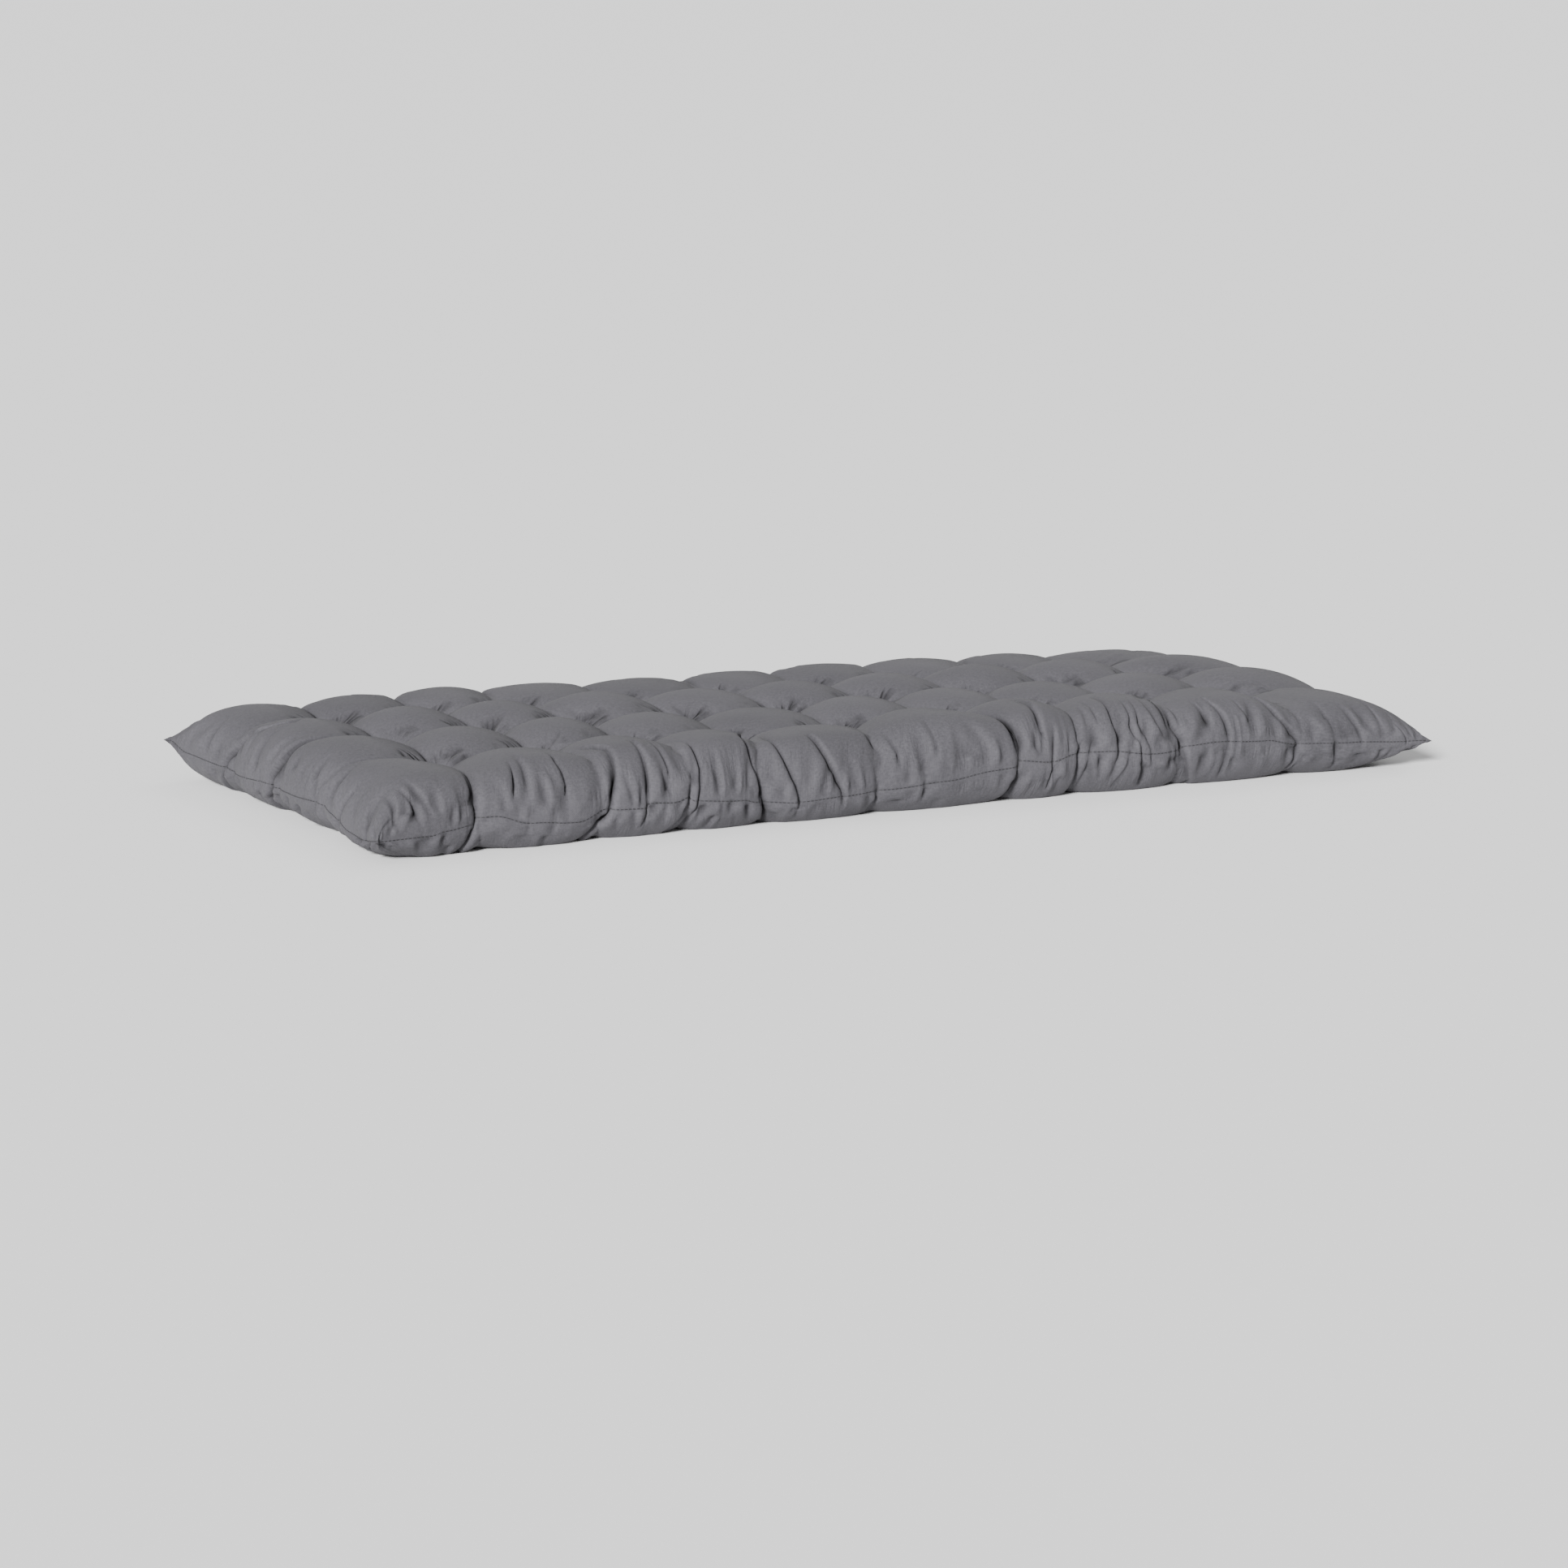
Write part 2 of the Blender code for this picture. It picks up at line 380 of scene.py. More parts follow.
frontFolds = (
    (-1, -539, -548, -560, 3, 62, 4, -541, 20, 1),
    (-1, -525, -536, -548, 5, 72, 4.5, -528, 20, 1),
    (-1, -492, -487, -484, 20, 70, 5, -502, 20, 1),
    (0, -481, -480, -477, 0, 120, 13.5, -496, 62, 13),
    (-1, -450, -445, -437, 10, 85, 5.5, -456, 20, 1),
    (-1, -431, -430, -426, 10, 100, 7.5, -436, 20, 2),
    (-1, -405, -404, -405, 0, 42, 3, -412, 20, 2),
    (-1, -392, -391, -397, 8, 85, 6.5, -402, 20, 1),
    (1, -345, -338, -333, 0, 105, 12.5, -374, 70, 13),
    (-1, -307, -306, -305, 0, 85, 11, -322, 30, 3),
    (-1, -284, -283, -290, 16, 78, 4, -300, 20, 1),
    (-1, -264, -262, -262, 0, 12, 2, -286, 58, 11),
    (2, -254, -250, -249, 0, 110, 11.5, -268, 40, 8),
    (3, -184, -193, -192, 0, 122, 13.5, -174, 55, 12),
    (-1, -146, -156, -160, 0, 118, 9.5, -146, 30, 4),
    (-1, -97, -109, -118, 0, 95, 8, -98, 20, 3),
    (4, -58, -51, -56, 4, 105, 5, -62, 45, 7),
    (-1, -36, -34, -40, 10, 70, 4.5, -40, 20, 1),
    (-1, -8, -9, -12, 0, 22, 5, -8, 30, 4),
    (-1, 4, 9, 6, 10, 78, 5, 2, 20, 1),
    (-1, 78, 77, 76, 3, 30, 3, 72, 20, 1),
    (5, 100, 98, 94, 0, 135, 15, 90, 70, 15),
    (-1, 131, 129, 134, 14, 112, 12.5, 126, 10, 1),
    (-1, 139, 143, 148, 0, 36, 9, 136, 34, 8),
    (6, 168, 182, 189, 20, 110, 5.5, 167, 60, 12),
    (-1, 182, 194, 200, 26, 92, 5, 177, 58, 5),
    (-1, 214, 210, 217, 0, 98, 11.5, 206, 30, 3),
    (-1, 228, 219, 225, 0, 12, 1, 212, 44, 4),
    (-1, 242, 227, 230, 0, 75, 6.5, 250, 42, 7),
    (-1, 254, 241, 243, 0, 78, 4.5, 262, 20, 1),
    (-1, 278, 262, 256, 3, 85, 5, 284, 20, 2),
    (-1, 286, 276, 276, 14, 122, 13, 298, 20, 3),
    (7, 295, 286, 290, 0, 95, 10.5, 313, 62, 10),
    (-1, 331, 324, 320, 16, 75, 4, 328, 20, 1),
    (-1, 347, 342, 336, 0, 80, 5, 340, 50, 4),
    (-1, 357, 354, 352, 0, 30, 3.5, 350, 20, 1),
    (-1, 376, 369, 360, 12, 75, 4, 372, 20, 1),
    (8, 435, 410, 398, 0, 95, 9.5, 426, 50, 6),
    (-1, 463, 449, 445, 4, 30, 3, 462, 20, 1),
    (-1, 478, 470, 466, 0, 70, 4.5, 482, 44, 5),
    (-1, 511, 500, 488, 0, 62, 4, 512, 20, 1),
    (-1, 537, 533, 529, 8, 80, 3, 537, 20, 1),
    (-1, 564, 552, 549, 0, 70, 3.5, 563, 10, 1),
)
leftFolds = (
    (-1, -193, -187, -182, 0, 35, 3, -190, 20, 1),
    (-1, -129, -145, -150, 0, 45, 3.5, -124, 40, 4),
    (0, -78, -88, -94, 0, 80, 4.5, -71, 60, 7),
    (1, 23, 13, 12, 0, 100, 10, 40, 62, 9),
    (-1, 43, 40, 38, 0, 12, 3, 56, 40, 4),
    (-1, 76, 68, 58, 0, 35, 3, 88, 30, 3),
    (2, 127, 105, 62, 0, 90, 7, 146, 60, 7),
    (-1, 220, 213, 205, 12, 40, 3, 221, 10, 1),
)


chance = {  # ranges for the folds of a side that the photo doesn't show
    "drift": (-0.010, 0.010),
    "length": (0.07, 0.12),
    "depth": (0.5, 1.1),
    "under": 0.055,
    "underDepth": (0.5, 1.0),
    "apart": 0.014,
    "spots": (0.2, 0.8),
    "smallDrift": (-0.008, 0.008),
    "smallLean": 1.6,
    "smallStart": (-0.012, 0.014),
    "smallLength": (0.03, 0.08),
    "smallDepth": (0.2, 0.6),
    "smallUnder": (0.02, 0.05),
    "smallUnderDepth": (0.1, 0.4),
    "back": (1.06, 24, 0.010),  # span, how many small folds, depth
    "right": (0.40, 9, 0.005),
}


# One fold at each tuft line, and some smaller ones between them.
def chanceFolds(lines, span, count, depth, random):
    def draw(name):
        return random.uniform(*chance[name])

    table = []
    for index, place in enumerate(lines):
        drift = draw("drift")
        table.append((index, place, place + drift, place + drift, 0, draw("length"), depth * draw("depth"),
                      place - drift, chance["under"], depth * draw("underDepth")))
    for place in (np.arange(count) + random.uniform(*chance["spots"], count)) * span / count - span / 2:
        if np.abs(np.array(lines) - place).min() < chance["apart"]:
            continue
        drift = draw("smallDrift")
        start = max(draw("smallStart"), 0)
        table.append((-1, place, place + drift, place + chance["smallLean"] * drift, start,
                      start + draw("smallLength"), depth * draw("smallDepth"),
                      place - drift, draw("smallUnder"), depth * draw("smallUnderDepth")))
    return sorted(table, key=lambda fold: fold[1])


def inMetres(table):
    return [(tuftLine, *(value / 1000 for value in row)) for tuftLine, *row in table]


# The four sides of the cushion: the folds, which way it runs (0 is along X) and whether it is the far one.
def cushionSides(random):
    return (
        (inMetres(frontFolds), 0, False),
        (inMetres(leftFolds), 1, False),
        (chanceFolds(columns[:, 4], *chance["back"], random), 0, True),
        (chanceFolds(rows[:, 2], *chance["right"], random), 1, True),
    )


# The lay of the cloth backwards: from places along a side to the flat cloth, at a distance from its seam.
def flatPlace(places, axis, isFar, distance, panel):
    rest = restLines()
    line = np.zeros((folds["samples"], 2))
    line[:, axis] = np.linspace(rest[axis][0], rest[axis][-1], len(line))
    line[:, 1 - axis] = rest[1 - axis][-1] - distance if isFar else rest[1 - axis][0] + distance
    laid = layCloth(line, np.full(len(line), panel))[:, axis]
    return np.interp(places, laid, line[:, axis])


class Fold:
    def __init__(self, row, home):
        self.tuftLine, self.home = int(row[0]), home
        self.upperLip = (-1, 1)[round(row[1] * 1000) % 2]  # the side of its line that laps over the other
        self.start, self.end, self.depth = row[4:7]
        self.underEnd, self.underDepth = row[8:10]
        self.lines = {}

    def place(self, distance, panel):  # where on the flat cloth it runs, at distances from its seam
        return np.interp(distance, *self.lines[panel])

    def sink(self, distance, panel):  # how deep it is there
        crossesSeam = self.start < 0.001
        fromTop = self.depth if crossesSeam else 0
        held = folds["atSeam"] * max(fromTop, folds["underAtSeam"] * self.underDepth)
        free = eased(distance, folds["seamReach"])
        if panel < 0:
            fall = np.clip(1 - distance / self.underEnd, 0, 1) ** folds["fall"]
            return mix(held, self.underDepth, free) * fall
        share = (distance - self.start) / (self.end - self.start)
        fall = np.clip(1 - share, 0, 1) ** folds["fall"]
        if crossesSeam:
            return mix(held, self.depth, free) * fall
        return self.depth * eased(share, folds["swell"]) * fall + held * (1 - free)


# Puts each fold of a side on a line of the cloth's mesh, its home. Those at tufts have theirs set.
def homeFolds(table, atSeam, lines, rest):
    isMain = table[:, 0] >= 0
    tuftHomes = lines[np.abs(lines[:, None] - rest[2:-2]).argmin(axis=0)]
    homes = np.interp(atSeam, [rest[0], *atSeam[isMain], rest[-1]], [rest[0], *tuftHomes, rest[-1]])
    taken = {int(np.abs(lines - home).argmin()) for home in tuftHomes}
    made, last = [], 0
    for row, home, main in zip(table, homes, isMain):
        nearest = int(np.abs(lines - home).argmin())
        if not main:
            while nearest in taken or nearest <= last:
                nearest += 1 if nearest <= last or home > lines[nearest] else -1
            taken.add(nearest)
        last = nearest
        made.append(Fold(row, lines[nearest]))
    return made


# The folds of a side, with the lines that they follow on the flat cloth.
def makeFolds(table, axis, isFar):
    rest = restLines()[axis]
    table = np.array(table)
    atSeam = flatPlace(table[:, 1], axis, isFar, 0, 0)
    near = flatPlace(table[:, 2], axis, isFar, folds["near"], 1)
    far = flatPlace(table[:, 3], axis, isFar, folds["far"], 1)
    under = flatPlace(table[:, 7], axis, isFar, folds["under"], -1)
    made = homeFolds(table, atSeam, meshLines(axis), rest)
    atTufts = [fold for fold in made if fold.tuftLine >= 0]
    steps = np.linspace(0, folds["reach"], folds["steps"])
    tuftsFirst = sorted(zip(made, atSeam, near, far, under), key=lambda entry: entry[0].tuftLine < 0)
    for fold, seamPlace, nearPlace, farPlace, underPlace in tuftsFirst:
        for panel, end, knots, known in (
            (1, fold.end, (0, folds["near"], folds["far"]), (seamPlace, nearPlace, farPlace)),
            (-1, fold.underEnd, (0, folds["under"]), (seamPlace, underPlace)),
        ):
            if fold.tuftLine >= 0:
                tuftPlace = rest[2:-2][fold.tuftLine]
                line = np.interp(steps, (*knots, folds["reach"]), (*known, tuftPlace))
            else:
                own = np.interp(steps, knots, known)
                others = fold.home + bend(np.full(len(steps), fold.home), steps, panel, atTufts, rest)
                line = mix(others, own, eased(end + folds["blend"] - steps, folds["blend"]))
            fold.lines[panel] = (steps, line)
    for panel in (1, -1):
        spaceFolds(made, panel, rest)
    return made


# Moves folds apart where they would crowd or cross, so that the mesh between them keeps some of its width.
def spaceFolds(made, panel, rest):
    homes = np.array([rest[0], *(fold.home for fold in made), rest[-1]])
    least = folds["leastSpace"] * np.diff(homes)
    upward = [np.full(folds["steps"], rest[0])]
    for fold, gap in zip(made, least):
        upward.append(np.maximum(fold.lines[panel][1], upward[-1] + gap))
    downward = [np.full(folds["steps"], rest[-1])]
    for fold, gap in zip(reversed(made), reversed(least)):
        downward.append(np.minimum(fold.lines[panel][1], downward[-1] - gap))
    for fold, low, high in zip(made, upward[1:], reversed(downward[1:])):
        fold.lines[panel] = (fold.lines[panel][0], (low + high) / 2)


# How far the mesh's lines lie from home, eased from fold to fold.
def bend(place, distance, panel, made, rest):
    moved = np.zeros(len(place))
    homes = [rest[0], *(fold.home for fold in made), rest[-1]]
    for index in range(len(homes) - 1):
        here = np.nonzero((place >= homes[index]) & (place < homes[index + 1]))[0]
        before = made[index - 1].place(distance[here], panel) - homes[index] if index > 0 else 0
        after = made[index].place(distance[here], panel) - homes[index + 1] if index < len(made) else 0
        moved[here] = mix(before, after, (place[here] - homes[index]) / (homes[index + 1] - homes[index]))
    return moved


# Bends the lines of the mesh, so that they follow the folds of every side.
def bendMesh(home, side, madeSides):
    moved = np.zeros_like(home)
    for made, axis, isFar in madeSides:
        rest, distance = restLines()[axis], fromSide(home, axis, isFar)
        for panel in (1, -1):
            here = onPanel(side, panel)
            straight = bend(home[here, axis], np.full(here.sum(), 1.0), panel, made, rest)
            bent = bend(home[here, axis], distance[here], panel, made, rest)
            moved[here, axis] += bent - (straight if isFar else 0)  # the near side has moved the middle
    return home + moved


def onPanel(side, panel):  # the seam goes with the top
    return (side == panel) | ((side == 0) & (panel == 1))


# Sinks each fold into the cloth, raises one lip and lowers the other, and draws the cloth beside it in.
def sinkFolds(made, place, distance, side, sunk, shift):
    for panel in (1, -1):
        here = np.nonzero(onPanel(side, panel))[0]
        for fold in made:
            off = place[here] - fold.place(distance[here], panel)
            beside = np.abs(off) < folds["width"]
            found, off = here[beside], off[beside] * fold.upperLip
            deep = fold.sink(distance[found], panel)
            away = np.abs(off)
            mouth = folds["slit"] * (folds["slitStart"] + folds["slitGrowth"] * deep)
            slit = deep * np.exp(-(away / mouth) ** folds["slitCurve"])
            raised = -folds["raised"] * np.exp(-away / folds["raisedWidth"])
            lowered = folds["lowered"] * np.exp(-away / folds["loweredWidth"])
            sunk[found] += slit + deep * np.where(off > 0, raised, np.where(off < 0, lowered, 0))
            drawn = np.minimum(folds["pull"] * deep, folds["mostPull"])
            drawn *= np.where(off > 0, folds["upperPull"], folds["lowerPull"])
            drawn *= (1 - np.exp(-away / folds["pullStart"])) * np.exp(-away / folds["pullWidth"])
            shift[found] -= np.sign(off) * drawn * fold.upperLip


gathers = {
    "pitch": 0.0085,
    "depth": (0.0006, 0.0055),
    "length": (0.018, 0.070),
    "width": (0.0028, 0.0070),
    "spots": (0.1, 0.9),
    "start": (-0.02, 0.02),
    "lean": 0.12,
    "flanks": (0.7, 1.5),  # one is steeper than the other
    "curve": 1.5,
    "lip": 0.4,
    "lipPlace": 2.2,
    "swell": 5.0,
    "underLength": 0.7,  # on the bottom panel
    "moved": 0.03,  # width of the cloth that one moves on either side
    "cornerFade": 0.06,
    "cornerSpace": 0.02,
}


# Small gathers all along one side, from the seam inwards on both panels.
def sinkGathers(side, place, distance, span, weight, random, sunk):
    count = int(span / gathers["pitch"])
    for panel, lengthShare in ((1, 1.0), (-1, gathers["underLength"])):
        spots = np.arange(count) + random.uniform(*gathers["spots"], count)
        for spot in spots * span / count - span / 2:
            end = lengthShare * random.uniform(*gathers["length"])
            start = max(random.uniform(*gathers["start"]), 0)
            lean = random.normal(0, gathers["lean"])
            deep = mix(*gathers["depth"], random.random() ** 2)  # most are shallow
            width = random.uniform(*gathers["width"])
            flank = random.choice(gathers["flanks"])
            near = (np.abs(place - spot) < gathers["moved"]) & (distance < start + end)
            found = np.nonzero(near & (side * panel >= 0))[0]
            share = np.clip((distance[found] - start) / end, 0, 1)
            off = place[found] - spot - lean * distance[found]
            across = np.abs(off / (width * np.where(off < 0, flank, sum(gathers["flanks"]) - flank)))
            fade = (1 - share) * smooth(np.clip(share * gathers["swell"], 0, 1))
            lip = gathers["lip"] * np.exp(-(across - gathers["lipPlace"]) ** 2)
            sunk[found] += deep * fade * (np.exp(-across ** gathers["curve"]) - lip) * weight[found]


tufts = {
    "pit": 0.007,
    "pitWidth": 0.009,
    "pitCurve": 1.5,
    "reach": 0.07,
    "underPull": 0.5,  # of all this on the bottom panel
    "creaseLength": (0.016, 0.045),
    "creaseDepth": (0.002, 0.008),
    "creaseStart": -0.002,
    "creaseFall": 0.8,
    "slit": 0.0028,
    "drawn": 0.45,  # how far a crease draws the cloth in, as a share of its depth
    "drawnWidth": 0.014,
    "mostDrawn": 0.6,
    "flankStart": 0.008,  # shorter creases on the flanks of the pillows, beside the channels
    "flankLength": (0.020, 0.040),
    "flankDepth": 0.0055,
    "flankShare": (0.2, 1.0),
    "flankSteps": (2, 3),  # how many lines of the mesh away from the channel
    "meshStep": (0.0044, 0.0055),  # from one line of the mesh to the next there
}


# The pit that the thread pulls at a tuft, and the creases that run out of it along the channels.
def sinkTuft(flat, side, panel, tuftPlace, random, sunk, shifts):
    pull = 1.0 if panel > 0 else tufts["underPull"]
    away = flat[:, :2] - tuftPlace
    found = np.nonzero((side == panel) & (np.abs(away).max(axis=1) < tufts["reach"]))[0]
    away = away[found]
    deep = tufts["pit"] * np.exp(-(np.hypot(*away.T) / tufts["pitWidth"]) ** tufts["pitCurve"])
    for axis in (0, 1):
        for direction in (-1, 1):
            length = random.uniform(*tufts["creaseLength"])
            crease = random.uniform(*tufts["creaseDepth"])
            along, off = away[:, axis] * direction, away[:, 1 - axis]
            fall = np.clip(1 - along / length, 0, 1) ** tufts["creaseFall"]
            crease = crease * np.where(along > tufts["creaseStart"], fall, 0)
            deep = np.maximum(deep, crease * np.exp(-np.abs(off) / tufts["slit"]))
            beside = random.choice(tufts["flankSteps"]) * tufts["meshStep"][1 - axis]
            share = (along - tufts["flankStart"]) / random.uniform(*tufts["flankLength"])
            flank = tufts["flankDepth"] * random.uniform(*tufts["flankShare"])
            flank = flank * np.clip(4 * share * (1 - share), 0, 1)
            deep = np.maximum(deep, flank * np.exp(-np.abs(off - beside) / tufts["slit"]))
            drawn = tufts["drawn"] * crease * np.exp(-np.abs(off) / tufts["drawnWidth"])
            drawn = np.minimum(drawn, tufts["mostDrawn"] * np.abs(off))
            shifts[1 - axis][found] -= pull * np.sign(off) * drawn
    sunk[found] += deep * pull


# One value or one row of values for each item of a mesh.
def read(items, field, width=1, kind=float):
    values = np.empty(len(items) * width, kind)
    items.foreach_get(field, values)
    return values.reshape(-1, width) if width > 1 else values


def floatRow(values):
    return np.ascontiguousarray(values, dtype=np.float32).ravel()


def setPlaces(mesh, places):
    mesh.vertices.foreach_set("co", floatRow(places))
    mesh.update()


def addAttribute(mesh, name, values, kind="FLOAT"):
    attribute = mesh.attributes.new(name, kind, "POINT")
    attribute.data.foreach_set("vector" if kind == "FLOAT_VECTOR" else "value", floatRow(values))


def selectEdges(mesh, chosen):
    mesh.vertices.foreach_set("select", np.zeros(len(mesh.vertices), bool))
    mesh.polygons.foreach_set("select", np.zeros(len(mesh.polygons), bool))
    mesh.edges.foreach_set("select", chosen)
    bpy.context.tool_settings.mesh_select_mode = (False, True, False)


grid = {
    "faces": (148, 64),  # along X and Y
    "rim": (0.085, 0.190),  # share of the length and of the depth in which the mesh is finer
    "lessRim": 0.6,  # of that rim at the back, and on the bottom
    "closeness": (0.15, 0.35),  # how much closer together the rows of the mesh lie near the seam
    "edge": 0.4999,  # the rim's vertices lie at 0.5
    "weld": 0.00001,
}


# Which way each vertex faces while the cloth is flat: 1 on the top panel, -1 on the bottom, 0 on the seam.
def panelSides(mesh):
    up = np.sign(read(mesh.polygons, "normal", 3)[:, 2])
    corners = read(mesh.loops, "vertex_index", kind=int)
    total = np.zeros(len(mesh.vertices))
    np.add.at(total, corners, np.repeat(up, read(mesh.polygons, "loop_total", kind=int)))
    onRim = np.abs(read(mesh.vertices, "co", 3)[:, :2]).max(axis=1) > grid["edge"]
    return np.where(onRim, 0, np.sign(total))


# Cuts in two every edge that the test chooses, by its middle, whether it runs along X, and its panel.
def splitEdges(cloth, test):
    mesh = cloth.data
    places, ends = read(mesh.vertices, "co", 3), read(mesh.edges, "vertices", 2, int)
    alongX = np.abs(places[ends[:, 0], 0] - places[ends[:, 1], 0]) > 0.001
    selectEdges(mesh, test(places[ends].mean(axis=1), alongX, panelSides(mesh)[ends].sum(axis=1)))
    bpy.ops.object.mode_set(mode="EDIT")
    bpy.ops.mesh.subdivide(number_cuts=1, ngon=False)
    bpy.ops.object.mode_set(mode="OBJECT")


# Two panels of cloth, one over the other, with their rims sewn into one seam.
def sewPanels(name, faces):
    selectNothing()
    bpy.ops.mesh.primitive_grid_add(x_subdivisions=faces[0], y_subdivisions=faces[1], size=1)
    cloth = bpy.context.object
    cloth.name = name
    bpy.ops.object.mode_set(mode="EDIT")
    bpy.ops.mesh.select_all(action="SELECT")
    bpy.ops.mesh.duplicate()
    bpy.ops.mesh.flip_normals()
    bpy.ops.mesh.select_all(action="DESELECT")
    bpy.ops.mesh.select_mode(type="VERT")
    bpy.ops.mesh.select_non_manifold(extend=False, use_wire=False, use_boundary=True,
                                     use_multi_face=False, use_non_contiguous=False, use_verts=False)
    bpy.ops.mesh.remove_doubles(threshold=grid["weld"])
    bpy.ops.object.mode_set(mode="OBJECT")
    return cloth


def spread(unit, axis):  # from the unit grid to the flat cloth
    rest, share = restLines()[axis], unit + 0.5
    closer = grid["closeness"][axis] * np.sin(2 * math.pi * share) / (2 * math.pi)
    return mix(rest[0], rest[-1], share - closer)


def layFlat(unit):
    flat = np.zeros_like(unit)
    for axis in (0, 1):
        flat[:, axis] = spread(unit[:, axis], axis)
    return flat


def meshLines(axis):  # two to each face of the grid, where the mesh is finer
    return spread(np.linspace(-0.5, 0.5, 2 * grid["faces"][axis] + 1), axis)


# The panels of the cover itself. Their mesh is finer on top, and finer still near the seam.
def cutPanels():
    cloth = sewPanels("cushion_cover", grid["faces"])

    def topAndRim(middle, alongX, side):  # where both ends of an edge are on the bottom, side is -2
        inside = 0.5 - np.abs(middle[:, :2])
        return (side > -1.5) | (inside < grid["rim"]).any(axis=1)

    def acrossRim(middle, alongX, side):
        under = np.where(side < 0, grid["lessRim"], 1)
        back = np.where(middle[:, 1] > 0, grid["lessRim"], 1)
        inX, inY = 0.5 - np.abs(middle[:, 0]), 0.5 - np.abs(middle[:, 1])
        return np.where(alongX, inY < under * back * grid["rim"][1], inX < under * grid["rim"][0])

    splitEdges(cloth, topAndRim)
    splitEdges(cloth, acrossRim)
    return cloth, layFlat(read(cloth.data.vertices, "co", 3)), panelSides(cloth.data)


# Cloth simulation. The filling puffs up a coarser copy of the cover, whose cloth would rather be flat,
# while the threads hold its tufts. It settles into uneven pillows and soft creases, which the fine mesh
# then takes on.

settling = {
    "faces": (180, 80),
    "frames": 14,
    "cloth": {
        "quality": 4,
        "mass": 0.15,
        "tension_stiffness": 8.0,
        "compression_stiffness": 4.0,
        "shear_stiffness": 3.0,
        "bending_stiffness": 0.1,
        "tension_damping": 2.0,
        "compression_damping": 2.0,
        "shear_damping": 2.0,
        "use_pressure": True,
        "uniform_pressure_force": 4.0,
    },
    "tied": 0.006,  # what a tuft's thread holds
    "mostMove": 0.005,
    "seamMove": 0.35,  # share of the movement that the seam keeps
    "seamReach": 0.05,
}


def settleCloth():
    sample = sewPanels("cover_sample", settling["faces"])
    unit, side = read(sample.data.vertices, "co", 3), panelSides(sample.data)
    flat = layFlat(unit)
    laid = layCloth(flat, side)
    setPlaces(sample.data, laid)
    sample.shape_key_add(name="laid")
    cutFlat = sample.shape_key_add(name="cut flat")
    cutFlat.data.foreach_set("co", floatRow(flat))
    isTied = np.hypot(*nearestTufts(flat)[1]) < settling["tied"]
    atTip = np.abs(unit[:, :2]).min(axis=1) > grid["edge"]
    held = sample.vertex_groups.new(name="held")
    held.add(np.nonzero(isTied | atTip)[0].tolist(), 1.0, "REPLACE")
    puff = sample.modifiers.new("puff", "CLOTH")
    for name, value in settling["cloth"].items():
        setattr(puff.settings, name, value)
    puff.settings.vertex_group_mass = "held"
    puff.settings.rest_shape_key = cutFlat
    puff.settings.effector_weights.gravity = 0
    puff.collision_settings.use_collision = False
    puff.point_cache.frame_end = settling["frames"]
    for step in range(1, settling["frames"] + 1):
        bpy.context.scene.frame_set(step)
    settled = bpy.data.meshes.new_from_object(sample.evaluated_get(bpy.context.evaluated_depsgraph_get()))
    moved = read(settled.vertices, "co", 3) - laid
    bpy.context.scene.frame_set(1)
    bpy.data.objects.remove(sample)
    far = np.linalg.norm(moved, axis=1, keepdims=True)
    moved *= settling["mostMove"] * np.tanh(far / settling["mostMove"]) / np.maximum(far, 0.000001)
    print("cloth has settled: moved by up to", round(1000 * far.max()), "mm, on average",
          round(1000 * far.mean(), 1), "mm")
    column, row = np.round((unit[:, :2] + 0.5) * settling["faces"]).astype(int).T
    panels = {}
    for panel in (1, -1):
        here = side * panel >= 0
        panels[panel] = np.zeros((*(faces + 1 for faces in settling["faces"]), 3))
        panels[panel][column[here], row[here]] = moved[here]
    return panels


# Cubic shares of the four neighbours of a place between two vertices.
def cubicShares(t):
    return (
        ((2 - t) * t - 1) * t / 2,
        (t * t * (3 * t - 5) + 2) / 2,
        ((4 - 3 * t) * t + 1) * t / 2,
        (t - 1) * t * t / 2,
    )


# The settled movement at any places of the flat cloth.
def movement(panels, flat, side):
    cells, shares = [], []
    for axis, faces in enumerate(settling["faces"]):
        lines = spread(np.linspace(-0.5, 0.5, faces + 1), axis)
        place = np.interp(flat[:, axis], lines, np.arange(faces + 1))
        cell = np.minimum(place.astype(int), faces - 1)
        cells.append([np.clip(cell + step, 0, faces) for step in (-1, 0, 1, 2)])
        shares.append(cubicShares(place - cell))
    found = np.zeros_like(flat)
    for panel in (1, -1):
        here = onPanel(side, panel)
        for cellX, shareX in zip(cells[0], shares[0]):
            for cellY, shareY in zip(cells[1], shares[1]):
                found[here] += (shareX * shareY)[here, None] * panels[panel][cellX[here], cellY[here]]
    fromSeam = fromRims(flat).min(axis=0)
    return found * mix(settling["seamMove"], 1, eased(fromSeam, settling["seamReach"]))[:, None]


